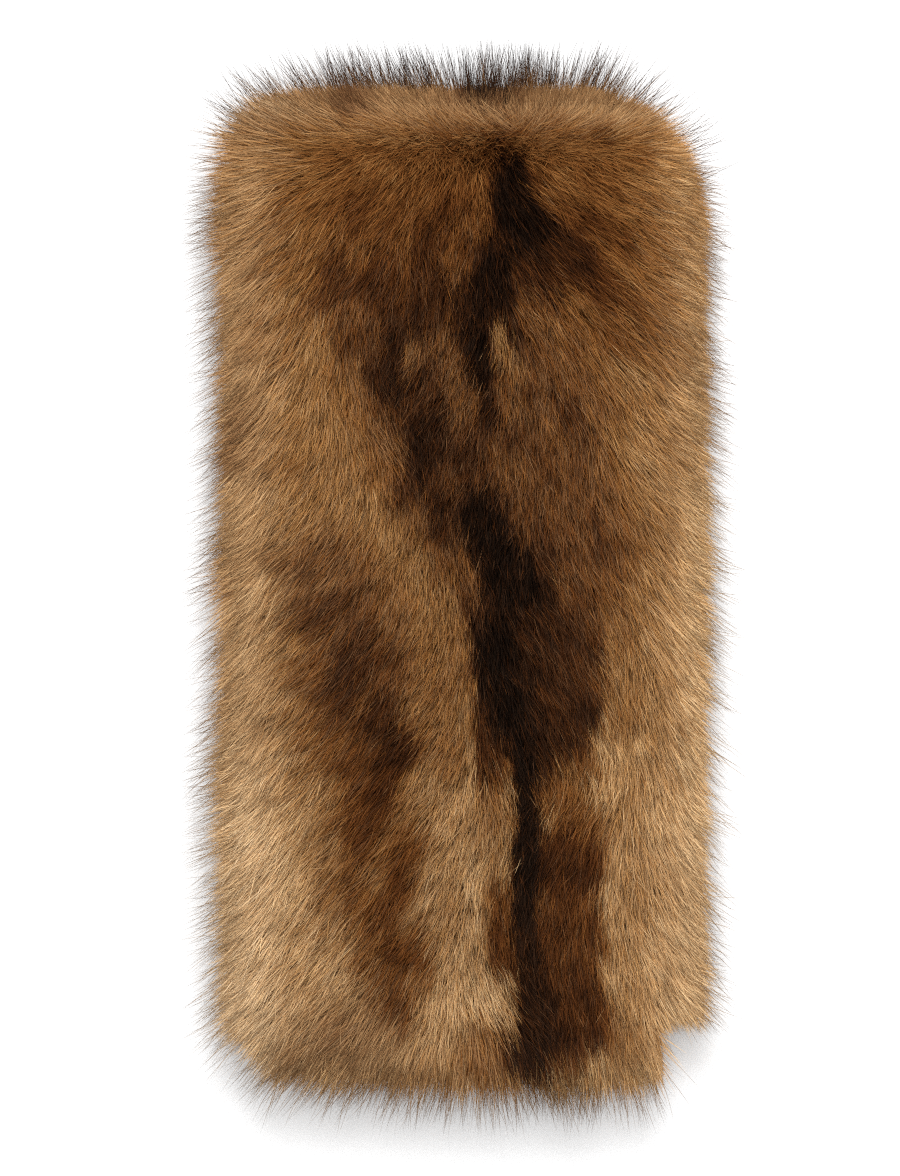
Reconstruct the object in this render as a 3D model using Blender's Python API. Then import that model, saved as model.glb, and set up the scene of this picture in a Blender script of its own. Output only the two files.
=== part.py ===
"""Fur collar wrap: one long strip of long-haired fur, folded across its middle and laid flat, fur outside.

Metres, +Z up. The wrap lies on z = 0 with its fold towards +Y and its two open ends towards -Y. The origin
is under the middle of the whole wrap. Each stretch of the strip is a skin wall and a solid of its pile.
"""

import math

import bmesh
import bpy
from mathutils import Vector

# The whole wrap, to the reach of its pile.
WIDTH = 0.232
LENGTH = 0.464
THICKNESS = 0.045
# The plane where the two leaves meet, skin to skin.
SEAM_HEIGHT = 0.0205
# Clearance between neighbouring pieces.
GAP = 0.0003

# The skin: a wall, set back from the reach of the pile at the sides and fold, and at the open ends.
SKIN_WALL = 0.0018
SKIN_MARGIN = 0.020
SKIN_END_MARGIN = 0.026
SKIN_SPACING = 0.0006

# The pile over the fold starts here, measured back from the fold's reach.
FOLD_DEPTH = 0.046

# Outline of the pile: rounded corners at the fold, one cut corner and one stepped corner at the open ends.
FOLD_CORNER_LEFT = 0.036
FOLD_CORNER_RIGHT = 0.052
CUT_WIDTH = 0.036
CUT_LENGTH = 0.036
STEP_WIDTH = 0.026
STEP_LENGTH = 0.030
SOFT_CORNER = 0.010
ARC_STEPS = 7

# Section of the pile's edge, from the underside up: how far it is set back, and at what height.
EDGE_SECTION = [
    {"set_back": 0.0120, "height": 0.0000},
    {"set_back": 0.0060, "height": 0.0030},
    {"set_back": 0.0018, "height": 0.0080},
    {"set_back": 0.0000, "height": 0.0140},
    {"set_back": 0.0014, "height": SEAM_HEIGHT},
    {"set_back": 0.0000, "height": 0.0260},
    {"set_back": 0.0024, "height": 0.0325},
    {"set_back": 0.0080, "height": 0.0385},
    {"set_back": 0.0180, "height": 0.0428},
    {"set_back": 0.0320, "height": THICKNESS},
]


def clear_scene():
    for item in list(bpy.data.objects):
        bpy.data.objects.remove(item, do_unlink=True)


def plain_material(name, colour, roughness):
    """A Principled material with one colour and no metal in it."""
    material = bpy.data.materials.new(name)
    material.use_nodes = True
    shader = material.node_tree.nodes["Principled BSDF"]
    shader.inputs["Base Color"].default_value = (*colour, 1)
    shader.inputs["Roughness"].default_value = roughness
    shader.inputs["Metallic"].default_value = 0
    return material


def strip_corners(x, low, high, left_radius, right_radius):
    """A leaf's corners, anticlockwise from the lower left, each with the radius that rounds it.

    The leaf reaches from -x to x and from low to high. Its open end has the cut corner and the stepped one.
    """
    return [
        {"at": Vector((-x, low + CUT_LENGTH)), "radius": SOFT_CORNER},
        {"at": Vector((CUT_WIDTH - x, low)), "radius": SOFT_CORNER},
        {"at": Vector((x - STEP_WIDTH, low)), "radius": SOFT_CORNER},
        {"at": Vector((x - STEP_WIDTH, low + STEP_LENGTH)), "radius": SOFT_CORNER / 2},
        {"at": Vector((x, low + STEP_LENGTH)), "radius": SOFT_CORNER},
        {"at": Vector((x, high)), "radius": right_radius},
        {"at": Vector((-x, high)), "radius": left_radius},
    ]


def cross(a, b):
    return a.x * b.y - a.y * b.x


def set_back_corners(corners, distance):
    """The same corners after every side has moved inwards by the distance."""
    count = len(corners)
    moved = []
    for i, corner in enumerate(corners):
        before = (corner["at"] - corners[i - 1]["at"]).normalized()
        after = (corners[(i + 1) % count]["at"] - corner["at"]).normalized()
        turn = cross(before, after)
        # Both sides move along their inward normals, and the corner is where they meet again.
        start = corner["at"] + distance * Vector((-before.y, before.x))
        other = corner["at"] + distance * Vector((-after.y, after.x))
        along = cross(other - start, after) / turn
        radius = corner["radius"] - math.copysign(distance, turn)
        moved.append({"at": start + along * before, "radius": max(radius, GAP)})
    return moved


def rounded_ring(corners, height):
    """The outline's points at one height, each corner turned into an arc of the same number of points."""
    count = len(corners)
    ring = []
    for i, corner in enumerate(corners):
        to_before = (corners[i - 1]["at"] - corner["at"]).normalized()
        to_after = (corners[(i + 1) % count]["at"] - corner["at"]).normalized()
        half = to_before.angle(to_after) / 2
        centre = corner["at"] + (to_before + to_after).normalized() * corner["radius"] / math.sin(half)
        reach = corner["radius"] / math.tan(half)
        first = corner["at"] + to_before * reach - centre
        last = corner["at"] + to_after * reach - centre
        sweep = math.atan2(cross(first, last), first.dot(last))
        for step in range(ARC_STEPS):
            turn = sweep * step / (ARC_STEPS - 1)
            spoke = Vector(
                (
                    first.x * math.cos(turn) - first.y * math.sin(turn),
                    first.x * math.sin(turn) + first.y * math.cos(turn),
                )
            )
            ring.append(Vector((centre.x + spoke.x, centre.y + spoke.y, height)))
    return ring


def loft(rings):
    """A closed body through rings of equally many points, capped at both ends."""
    shape = bmesh.new()
    loops = [[shape.verts.new(point) for point in ring] for ring in rings]
    count = len(loops[0])
    for lower, upper in zip(loops, loops[1:]):
        for i in range(count):
            j = (i + 1) % count
            shape.faces.new((lower[i], lower[j], upper[j], upper[i]))
    shape.faces.new(reversed(loops[0]))
    shape.faces.new(loops[-1])
    return shape


def keep_side(shape, point, normal):
    """Cuts the body with a plane, keeps what lies on the normal's side and closes the cut."""
    cut = bmesh.ops.bisect_plane(
        shape,
        geom=shape.verts[:] + shape.edges[:] + shape.faces[:],
        dist=1e-7,
        plane_co=point,
        plane_no=normal,
        clear_inner=True,
    )
    rim = [item for item in cut["geom_cut"] if isinstance(item, bmesh.types.BMEdge)]
    bmesh.ops.contextual_create(shape, geom=rim)


def add_object(name, shape, material=None):
    """Turns the body into an object of its own, its faces pointing out."""
    bmesh.ops.recalc_face_normals(shape, faces=shape.faces[:])
    mesh = bpy.data.meshes.new(name)
    shape.to_mesh(mesh)
    shape.free()
    mesh.shade_smooth()
    mesh.set_sharp_from_angle(angle=math.radians(40))
    item = bpy.data.objects.new(name, mesh)
    bpy.context.scene.collection.objects.link(item)
    if material:
        mesh.materials.append(material)
    return item


def pile_body():
    """The whole wrap's pile as one rounded slab, before it is cut into its stretches."""
    half = LENGTH / 2
    corners = strip_corners(WIDTH / 2, -half, half, FOLD_CORNER_LEFT, FOLD_CORNER_RIGHT)
    return loft(
        [rounded_ring(set_back_corners(corners, row["set_back"]), row["height"]) for row in EDGE_SECTION]
    )


def skin_places():
    """Where the skin begins at the open ends, and where its flat stretches meet the fold."""
    return SKIN_END_MARGIN - LENGTH / 2, LENGTH / 2 - FOLD_DEPTH


def skin_outline(end):
    """The flat skin's corners, from the open end as far as the given place along the wrap."""
    start, _ = skin_places()
    return strip_corners(WIDTH / 2 - SKIN_MARGIN, start, end, GAP, GAP)


def leaf_heights():
    """Each leaf's lower and upper face, the two leaves lying back to back at the seam."""
    low, high = SKIN_SPACING / 2, SKIN_SPACING / 2 + SKIN_WALL
    return {
        "upper_leaf": (SEAM_HEIGHT + low, SEAM_HEIGHT + high),
        "under_leaf": (SEAM_HEIGHT - high, SEAM_HEIGHT - low),
    }


def make_leaves(material):
    _, fold_line = skin_places()
    corners = skin_outline(fold_line - GAP)
    for name, heights in leaf_heights().items():
        add_object(name, loft([rounded_ring(corners, height) for height in heights]), material)


def fold_section(outer, inner=0):
    """The fold's section in the YZ plane: out along the upper leaf, round the bend and back below.

    Its bend has the outer radius, and the inner one too where the leaves lie apart inside it.
    """
    _, start = skin_places()
    bend = LENGTH / 2 - SKIN_MARGIN
    steps = 2 * ARC_STEPS
    half_turn = [math.pi / 2 - math.pi * step / steps for step in range(steps + 1)]
    outside = [(bend + outer * math.cos(a), SEAM_HEIGHT + outer * math.sin(a)) for a in half_turn]
    outside = [(start, SEAM_HEIGHT + outer), *outside, (start, SEAM_HEIGHT - outer)]
    if not inner:
        return outside
    inside = [(bend + inner * math.cos(a), SEAM_HEIGHT - inner * math.sin(a)) for a in half_turn]
    return [*outside, (start, SEAM_HEIGHT - inner), *inside, (start, SEAM_HEIGHT + inner)]


def across(section, half_width):
    """A section in the YZ plane carried straight across the wrap."""
    return loft([[Vector((x, y, z)) for y, z in section] for x in (-half_width, half_width)])


def make_fold_strip(material):
    inner = SKIN_SPACING / 2
    add_object("fold_strip", across(fold_section(inner + SKIN_WALL, inner), WIDTH / 2 - SKIN_MARGIN), material)


def make_skin_cutters():
    """Hidden bodies, one gap larger than the skin, which make room for it in the pile."""
    _, fold_line = skin_places()
    past_cut = FOLD_DEPTH / 4
    heights = leaf_heights()
    lowest = heights["under_leaf"][0] - GAP
    highest = heights["upper_leaf"][1] + GAP
    corners = set_back_corners(skin_outline(fold_line + past_cut), -GAP)
    flat = add_object("flat_room", loft([rounded_ring(corners, z) for z in (lowest, highest)]))
    section = fold_section(highest - SEAM_HEIGHT)
    bend = [(y - past_cut * (y == fold_line), z) for y, z in section]
    fold = add_object("fold_room", across(bend, WIDTH / 2 - SKIN_MARGIN + GAP))
    for cutter in (flat, fold):
        cutter.hide_render = True
        cutter.display_type = "WIRE"
    return {"flat": flat, "fold": fold}


def cut_room(item, cutter):
    room = item.modifiers.new("skin_room", "BOOLEAN")
    room.operation = "DIFFERENCE"
    room.object = cutter


def make_piles(material, cutters):
    """The slab of pile cut at the fold and, back from there, along the seam between the leaves."""
    _, fold_line = skin_places()
    fold = pile_body()
    keep_side(fold, Vector((0, fold_line, 0)), Vector((0, 1, 0)))
    cut_room(add_object("fold_pile", fold, material), cutters["fold"])
    for name, side in (("upper_pile", 1), ("under_pile", -1)):
        leaf = pile_body()
        keep_side(leaf, Vector((0, fold_line - GAP, 0)), Vector((0, -1, 0)))
        keep_side(leaf, Vector((0, 0, SEAM_HEIGHT + side * GAP / 2)), Vector((0, 0, side)))
        cut_room(add_object(name, leaf, material), cutters["flat"])


def main():
    clear_scene()
    skin = plain_material("skin", (0.42, 0.30, 0.19), 0.9)
    pile = plain_material("pile", (0.30, 0.17, 0.08), 0.7)
    make_leaves(skin)
    make_fold_strip(skin)
    make_piles(pile, make_skin_cutters())


main()
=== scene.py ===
# Fur collar wrap: a strip of long fur folded across its middle and laid flat, fur outside.
# Lengths are metres. The wrap lies on z = 0, its fold towards +Y and its open ends towards -Y.

import math

import bpy
import numpy as np
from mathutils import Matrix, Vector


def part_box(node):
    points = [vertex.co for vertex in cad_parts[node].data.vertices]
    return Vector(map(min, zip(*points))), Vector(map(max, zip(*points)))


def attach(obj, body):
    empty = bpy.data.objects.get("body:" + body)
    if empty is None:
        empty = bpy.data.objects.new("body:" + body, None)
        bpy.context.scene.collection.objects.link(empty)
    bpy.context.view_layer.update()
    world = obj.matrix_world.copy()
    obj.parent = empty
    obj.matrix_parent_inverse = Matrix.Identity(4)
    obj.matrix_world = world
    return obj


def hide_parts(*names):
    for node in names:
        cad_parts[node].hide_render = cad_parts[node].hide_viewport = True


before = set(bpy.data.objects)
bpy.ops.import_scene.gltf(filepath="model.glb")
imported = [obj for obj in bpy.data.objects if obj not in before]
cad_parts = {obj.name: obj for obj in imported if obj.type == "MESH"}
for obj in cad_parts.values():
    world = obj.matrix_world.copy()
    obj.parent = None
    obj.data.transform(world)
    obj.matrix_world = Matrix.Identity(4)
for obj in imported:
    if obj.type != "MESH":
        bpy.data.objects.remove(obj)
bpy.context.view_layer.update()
leafLow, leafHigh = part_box("upper_leaf")
_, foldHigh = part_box("fold_strip")
underLow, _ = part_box("under_leaf")

rng = np.random.default_rng(11)
mm = 0.001

# Where the skin lies, read from the frame
halfWidth, openEnd, bend = leafHigh[0], leafLow[1], foldHigh[1]
skinTop, skinBottom = leafHigh[2], underLow[2]
skinMiddle, bendRadius = (skinTop + skinBottom) / 2, (skinTop - skinBottom) / 2

skin = {
    "cut": 0.036,  # the corner cut off at the lower left
    "step": (0.026, 0.030),  # the step at the lower right
    "rootCut": 0.022,  # hair roots closer to these two corners than the skin's own edge
    "rootStep": (0.014, 0.024),
    "corners": ((-1, 0.026), (1, 0.046)),  # how round the left and the right end of the fold are
    "points": (60, 13, 25),  # along each leaf, round the bend and across the strip
    "tone": 0.8,
    "gain": 1.2,
    "roughness": 0.9,
}

# What each pattern starts from, which keeps it the same every time
seeds = {"patches": 21, "wanderAcross": 41, "wanderAlong": 43, "mottle": 61, "turn": 5, "lift": 5}


def linked(name, data):
    # The mesh, light or camera as an object in the scene
    item = bpy.data.objects.new(name, data)
    bpy.context.scene.collection.objects.link(item)
    return item


def linear(*rgb):
    # A colour given as screen values from 0 to 255, turned to linear light by the usual screen curve
    c = np.array(rgb) / 255
    return np.where(c <= 0.04045, c / 12.92, ((c + 0.055) / 1.055) ** 2.4)


def ease(x):
    # Smooth step: 3x^2 - 2x^3 of x held between 0 and 1
    x = np.clip(x, 0, 1)
    return x * x * (3 - 2 * x)


def hashed(i, j, seed):
    # A repeatable number from 0 to 1 for each pair of whole numbers: the fraction of a large sine
    v = np.sin(i * 127.1 + j * 311.7 + seed * 74.7) * 43758.5453
    return v - np.floor(v)


def ripple(x, y, size, seed):
    # Soft noise from about -1 to 1: the sum of nine sine waves of about this length, turned all ways, over 4
    count, calm, shortest, longest = 9, 4, 0.7, 1.5
    turns = np.random.default_rng(seed).uniform(0, 2 * math.pi, (count, 2))
    lengths = size * np.random.default_rng(seed + 1).uniform(shortest, longest, count)
    total = 0
    for (turn, phase), length in zip(turns, lengths):
        total = total + np.sin((x * math.cos(turn) + y * math.sin(turn)) * 2 * math.pi / length + phase)
    return total / calm


# Lean of the hair in degrees from straight down the wrap (towards -Y), positive towards +X,
# at these places across it (mm), with a row for each place along it (mm)
combAcross = (-106, -88, -70, -52, -34, -16, 2, 20, 38, 56, 74, 92, 110)
combAlong = {
    222: (-134, -150, -152, -154, -156, -160, -172, 176, 168, 160, 148, 132, 114),
    208: (-116, -128, -134, -136, -138, -146, -166, 168, 154, 142, 130, 114, 102),
    192: (-88, -90, -84, -66, -50, -34, -16, 20, 44, 54, 66, 78, 86),
    180: (-80, -70, -56, -42, -32, -22, -10, 26, 44, 54, 64, 74, 80),
    156: (-72, -60, -42, -28, -16, -8, -6, 16, 30, 40, 50, 62, 70),
    128: (-66, -56, -26, -12, -16, -20, -12, 12, 24, 34, 46, 58, 66),
    96: (-62, -52, -26, 6, 0, -28, -22, -8, 0, 14, 38, 54, 62),
    76: (-60, -50, -30, 14, 28, -18, -24, -4, 12, 8, 34, 52, 62),
    58: (-60, -50, -38, -22, 18, -8, -18, -10, 2, 0, 30, 50, 62),
    36: (-62, -50, -42, -38, -12, -10, -14, -8, 2, 10, 28, 48, 60),
    4: (-60, -52, -44, -40, -30, -10, 4, 14, 16, 14, 22, 46, 60),
    -32: (-60, -52, -42, -42, -38, -30, -10, 15, 18, 10, 10, 42, 60),
    -62: (-62, -52, -44, -40, -40, -32, -12, 12, 16, -2, 0, 38, 58),
    -86: (-62, -52, -45, -40, -42, -38, -16, 8, -28, -34, -8, 38, 58),
    -106: (-62, -52, -44, -42, -44, -40, -26, -4, -22, -30, -8, 42, 58),
    -140: (-60, -50, -38, -36, -38, -36, -12, 4, -10, -18, 12, 42, 60),
    -176: (-58, -50, -46, -42, -36, -28, 14, 28, 0, -6, 10, 40, 58),
    -206: (-54, -46, -42, -38, -34, -26, 0, 20, 16, 12, 14, 36, 52),
}


def combed(x, y):
    # The comb's direction at each point: the unit vectors of the nearest leans, blended along both ways.
    # Also how well the blended vectors agree, which is low where the hair parts
    rows = sorted(combAlong)
    across = np.array(combAcross) * mm
    leans = np.radians([combAlong[row] for row in rows])
    place = np.interp(y, np.array(rows) * mm, np.arange(len(rows)))
    low = np.clip(place.astype(int), 0, len(rows) - 2)
    share = place - low
    last = len(across) - 1.0001  # just short of the last column, so that another follows
    column = np.clip(np.interp(x, across, np.arange(len(across))), 0, last)
    c = column.astype(int)
    f = column - c
    parts = []
    for table in (np.sin(leans), -np.cos(leans)):
        lower = table[low, c] * (1 - f) + table[low, c + 1] * f
        upper = table[low + 1, c] * (1 - f) + table[low + 1, c + 1] * f
        parts.append(lower * (1 - share) + upper * share)
    agree = np.hypot(*parts)
    return parts[0] / agree, parts[1] / agree, agree


# Strokes laid one over another on the gold of the pelt. Each is a soft ellipse: its middle's x and y, half
# its length and half its width in mm, the lean of its long axis in degrees, the tone it draws the fur to,
# from 0 near black to 100 pale gold, and how far, in percent. A group's softness is the width of its rims
strokeGroups = {
    "broad": {"soft": 0.9, "strokes": [
        (-116, -10, 230, 14, 0, 82, 80), (-116, -150, 80, 14, 0, 94, 70), (113, -60, 150, 16, 0, 96, 70),
        (111, 140, 60, 11, 0, 88, 70), (92, 148, 50, 9, 0, 62, 70), (-100, -130, 60, 20, 0, 96, 70),
        (-72, -45, 50, 15, 0, 62, 70), (73, -110, 90, 9, 0, 74, 80), (-8, -142, 20, 8, 0, 72, 70),
        (-90, -60, 36, 10, 0, 78, 70), (-106, 74, 9, 8, -60, 54, 60), (-108, 56, 7, 8, -60, 56, 60),
        (-9, -54, 38, 12, 0, 64, 85), (-72, 118, 16, 10, -30, 58, 70), (-66, 42, 18, 14, -20, 68, 70),
        (76, 116, 22, 11, 40, 56, 70), (2, 158, 50, 76, 0, 50, 90), (4, 85, 46, 54, 0, 44, 80),
        (52, 100, 34, 16, 12, 55, 60), (36, 12, 56, 40, 0, 43, 90), (-8, 40, 34, 24, 30, 40, 70),
        (-60, 2, 24, 26, 0, 50, 70), (-48, -40, 44, 26, -16, 45, 70), (-44, -110, 46, 22, -10, 50, 70),
        (-34, -164, 32, 15, 10, 55, 60), (-56, -204, 14, 34, 20, 62, 70), (-26, -222, 8, 34, 0, 58, 60),
        (10, -108, 12, 16, 0, 62, 60), (12, -210, 16, 16, 0, 56, 80), (72, -208, 16, 8, 0, 60, 60),
    ]},
    "fold": {"soft": 0.9, "strokes": [
        (0, 226, 8, 110, 0, 73, 75), (-20, 217, 10, 26, 0, 73, 80), (66, 217, 12, 26, 0, 75, 80),
        (-80, 220, 12, 20, 0, 73, 80), (-98, 205, 34, 18, 0, 72, 80), (98, 190, 40, 14, 0, 84, 80),
        (-54, 223, 11, 8, -40, 40, 70), (30, 222, 8, 14, 0, 68, 60), (8, 229, 8, 15, 0, 8, 95),
        (-34, 190, 14, 30, 0, 56, 70), (-8, 186, 16, 16, 0, 54, 70), (-10, 203, 6, 60, 0, 74, 80),
        (14, 202, 7, 8, 0, 40, 80), (61, 203, 10, 1.8, 66, 16, 80),
    ]},
    "upper back": {"soft": 0.6, "strokes": [
        (20, 186, 12, 8, 4, 14, 90), (23, 170, 15, 12, 8, 6, 95), (29, 155, 12, 15, 60, 5, 95),
        (14, 146, 10, 12, -30, 15, 90), (12, 133, 15, 11, 0, 6, 95), (-2, 127, 10, 6, -35, 10, 90),
        (22, 116, 13, 5, 12, 16, 80), (4, 112, 10, 9, 0, 16, 85), (6, 98, 13, 7, 12, 5, 95),
        (10, 80, 10, 5, 8, 18, 80), (28, 94, 12, 4, 6, 30, 60), (16, 108, 9, 4.5, 18, 76, 90),
        (22, 95, 8, 4, 20, 66, 85),
    ]},
    "right shoulder": {"soft": 0.8, "strokes": [
        (44, 150, 13, 12, 60, 17, 85), (34, 138, 12, 10, 20, 19, 85), (54, 141, 16, 11, 52, 26, 85),
        (68, 126, 12, 8, 60, 34, 70), (56, 164, 7, 8, 30, 32, 70), (68, 158, 12, 6, 40, 40, 60),
        (70, 108, 9, 6, 40, 44, 60), (44, 178, 8, 10, 50, 58, 70), (48, 120, 8, 11, 40, 58, 70),
        (49, 74, 14, 6, 28, 24, 80), (34, 73, 6, 8, 20, 54, 70), (24, 62, 8, 12, 0, 34, 60),
        (15, 50, 6, 5, 0, 50, 60), (42, 48, 12, 5, 0, 48, 50),
    ]},
    "left shoulder": {"soft": 0.8, "strokes": [
        (-50, 166, 13, 5, -15, 40, 60), (-7, 167, 9, 8, 0, 34, 70), (-60, 134, 15, 7, -12, 30, 75),
        (-40, 134, 13, 11, 0, 28, 75), (-18, 150, 10, 8, 0, 24, 80), (-17, 128, 16, 9, 0, 24, 80),
        (-30, 117, 9, 14, 0, 22, 80), (-50, 108, 7, 9, -20, 32, 70), (-52, 112, 16, 9, -10, 40, 60),
        (-35, 97, 13, 10, 0, 20, 85), (-34, 86, 8, 9, 0, 16, 85), (-20, 90, 8, 11, 0, 22, 80),
        (-25, 103, 8, 4, -8, 56, 80), (-12, 106, 7, 3.5, 0, 44, 70), (-7, 82, 10, 6, 0, 54, 75),
        (-28, 73, 6, 8, 20, 26, 70), (-17, 70, 13, 8, 0, 15, 90), (-20, 54, 10, 8, 14, 13, 90),
        (-33, 62, 8, 6, 10, 62, 70), (-26, 43, 8, 7, 20, 28, 80), (-2, 58, 16, 13, 0, 27, 75),
    ]},
    "back": {"soft": 0.55, "strokes": [
        (-8, 32, 13, 9, 60, 20, 85), (-10, 22, 8, 10, 30, 33, 70), (8, 30, 12, 11, 10, 5, 95),
        (13, 14, 16, 12, 12, 5, 95), (33, 11, 12, 9, -20, 17, 80), (24, -6, 16, 15, 20, 6, 95),
        (11, -16, 12, 9, 0, 25, 90), (-9, 3, 11, 9, 0, 50, 70), (2, -11, 8, 4, 0, 26, 70),
        (14, -42, 32, 11, 4, 5, 97), (26, -62, 34, 11, 10, 5, 97), (10, -80, 15, 7, 10, 24, 90),
        (30, -84, 18, 9, 4, 4, 97), (36, -38, 36, 12, 2, 17, 80), (50, -42, 34, 13, 0, 30, 90),
        (46, -68, 18, 14, -40, 21, 90), (9, -66, 12, 7, 0, 24, 70), (62, 18, 10, 7, 0, 34, 60),
        (29, -12, 8, 3, 14, 26, 70), (28, -34, 9, 3, 14, 24, 70), (32, -49, 9, 3, 18, 24, 70),
    ]},
    "stripe": {"soft": 0.5, "strokes": [
        (44, -124, 17, 19, 0, 28, 95), (45, -160, 26, 18, 0, 33, 95), (48, -196, 24, 18, 0, 28, 95),
        (44, -97, 8, 12, -35, 44, 80), (56, -104, 8, 7, 0, 54, 70), (52, -82, 10, 8, -30, 48, 70),
        (12, -142, 22, 6, 0, 58, 70), (12, -100, 12, 7, 0, 62, 70), (16, -146, 14, 5, 0, 34, 70),
        (15, -164, 13, 6, 8, 28, 80), (27, -112, 26, 6.5, 1, 6, 97), (26, -140, 24, 6, -2, 6, 97),
        (28, -166, 20, 6.5, 6, 15, 95), (33, -190, 18, 9, 12, 14, 95), (31, -210, 14, 14, 0, 15, 95),
        (46, -152, 12, 5, 0, 42, 60), (40, -170, 10, 6, 0, 40, 50), (8, -184, 11, 8, 40, 96, 80),
        (72, -58, 12, 8, 0, 56, 60), (90, -66, 20, 9, 0, 72, 60),
    ]},
    "left flank": {"soft": 0.8, "strokes": [
        (-66, -12, 8, 11, -30, 36, 70), (-55, -6, 8, 12, 0, 40, 70), (-68, 12, 12, 9, -20, 50, 50),
        (-50, -32, 14, 13, -14, 26, 85), (-34, -36, 9, 10, -20, 34, 70), (-57, -48, 13, 8, -10, 27, 80),
        (-39, -58, 12, 8, -24, 21, 85), (-50, -58, 6, 5, 0, 36, 50), (-31, -72, 11, 10, -34, 20, 85),
        (-39, -88, 14, 7, -24, 28, 85), (-52, -82, 12, 9, -20, 36, 70), (-50, -108, 15, 9, -8, 37, 80),
        (-41, -104, 9, 7, -20, 34, 80), (-26, -115, 6, 9, -20, 40, 70), (-30, -129, 12, 8, 0, 36, 80),
        (-36, -143, 11, 7, -16, 33, 75), (-51, -132, 13, 6, -6, 40, 70), (-62, -144, 6, 9, 0, 54, 50),
        (-44, -154, 6, 9, -20, 40, 70), (-32, -161, 10, 7, 0, 36, 80), (-45, -166, 6, 8, -20, 50, 60),
        (-35, -176, 11, 7, 8, 36, 70), (-20, -166, 17, 5, 0, 44, 70), (-31, -190, 10, 7, -8, 40, 70),
        (-44, -128, 9, 4.5, -6, 68, 80), (-35, -152, 6, 3, -10, 52, 60), (-30, -50, 7, 4, -30, 52, 50),
        (-17, -30, 14, 6, -8, 70, 60),
    ]},
}

marks = {
    "patches": {"amount": 0.04, "size": 0.026, "squash": 0.5},  # both are drawn out along the wrap
    "mottle": {"amount": 0.05, "size": 0.011, "squash": 0.6},  # the browns are broken up by finer patches
    "brown": {"from": 0.1, "to": 0.72, "fade": 0.15},
    "wander": {"amount": 0.0018, "along": 1.6, "size": 0.017},  # of the strokes' outlines, more so along it
    "goldAt": (-0.1, 0, 0.2),  # tone of the unmarked gold at these places along the wrap
    "gold": (0.87, 0.80, 0.68),
    "lockStart": (0.0325, -0.0945),  # the pale lock combed over the dark back begins along this line
    "lockEnd": (0.0640, -0.0610),
    "lockEdge": 0.0013,
    "lockReach": 0.032,  # how far it covers past the line, and over what distance it fades there
    "lockFade": 0.012,
    "lockUnder": "stripe",  # the strokes laid over it
}


def paleLock(x, y):
    # The pale lock's cover: past its line by a steep S-curve, within its reach, and fading off its two ends
    (ax, ay), (bx, by) = marks["lockStart"], marks["lockEnd"]
    length = math.hypot(bx - ax, by - ay)
    past = ((x - ax) * (by - ay) - (y - ay) * (bx - ax)) / length
    along = ((x - ax) * (bx - ax) + (y - ay) * (by - ay)) / length
    within = ease(1.5 - np.abs(along / length - 0.5)) * ease((marks["lockReach"] - past) / marks["lockFade"])
    return within / (1 + np.exp(np.clip(-past / marks["lockEdge"], -40, 40)))


def furTone(x, y):
    # Tone of the fur from 0 to 1. The gold pales from the fold to the open ends and varies in soft patches.
    # Each stroke in turn draws it towards its own tone, fully inside the ellipse and fading across its rim.
    # The pale lock hides whatever dark lies at its lower right. Last, the browns are mottled by finer noise
    patches, mottle, wander, browns = (marks[k] for k in ("patches", "mottle", "wander", "brown"))
    gold = np.interp(y, marks["goldAt"], marks["gold"])
    tone = gold + patches["amount"] * ripple(x, y * patches["squash"], patches["size"], seeds["patches"])
    plain = tone
    wx = x + wander["amount"] * ripple(x, y, wander["size"], seeds["wanderAcross"])
    wy = y + wander["amount"] * wander["along"] * ripple(x, y, wander["size"], seeds["wanderAlong"])
    lock = paleLock(x, y)
    for name, group in strokeGroups.items():
        soft = group["soft"]
        if name == marks["lockUnder"]:
            tone = tone + (plain - tone) * lock
        for midX, midY, long, wide, lean, own, cover in group["strokes"]:
            turn = math.radians(lean)
            dx, dy = wx - midX * mm, wy - midY * mm
            run = (dx * math.sin(turn) - dy * math.cos(turn)) / (long * mm)
            aside = (dx * math.cos(turn) + dy * math.sin(turn)) / (wide * mm)
            fade = ease((1 + soft * 0.5 - np.hypot(run, aside)) / soft)
            tone = tone + (own / 100 - tone) * (cover / 100) * fade
    brown = ease((tone - browns["from"]) / browns["fade"]) * ease((browns["to"] - tone) / browns["fade"])
    finer = ripple(x, y * mottle["squash"], mottle["size"], seeds["mottle"])
    return np.clip(tone + mottle["amount"] * brown * finer, 0, 1)


ashAndEdgeShade = {
    "at": (-0.13, -0.08, -0.02, 0.1, 0.17, 0.2, 0.216),  # the base share at these places along the wrap
    "base": (0.26, 0.18, 0.12, 0.1, 0, 0, 0.5),
    "edge": 0.072,  # both edges start here, off the middle, and are full after the fade
    "fade": 0.03,
    "leftAt": (-0.16, -0.06, 0.1),
    "left": (0.44, 0.34, 0.4),
    "right": 0.22,
    # Soft patches, low on the left and beside the left flank: the middle, half width, half length and share
    "patches": ((-0.058, -0.208, 0.04, 0.028, 0.35), (-0.066, 0.004, 0.02, 0.03, 0.15)),
    "brownTo": (0.68, 0.1),  # among the browns it changes along the wrap once more: the tones and their fades
    "brownFrom": (0.12, 0.15),
    "brownAt": (-0.1, -0.04, 0.1, 0.18),
    "brown": (-0.18, 0.08, 0.14, 0),
    "shoulder": (0.03, 0.08),  # but not on the right shoulder, past this corner
    "most": 0.9,
}


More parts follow.
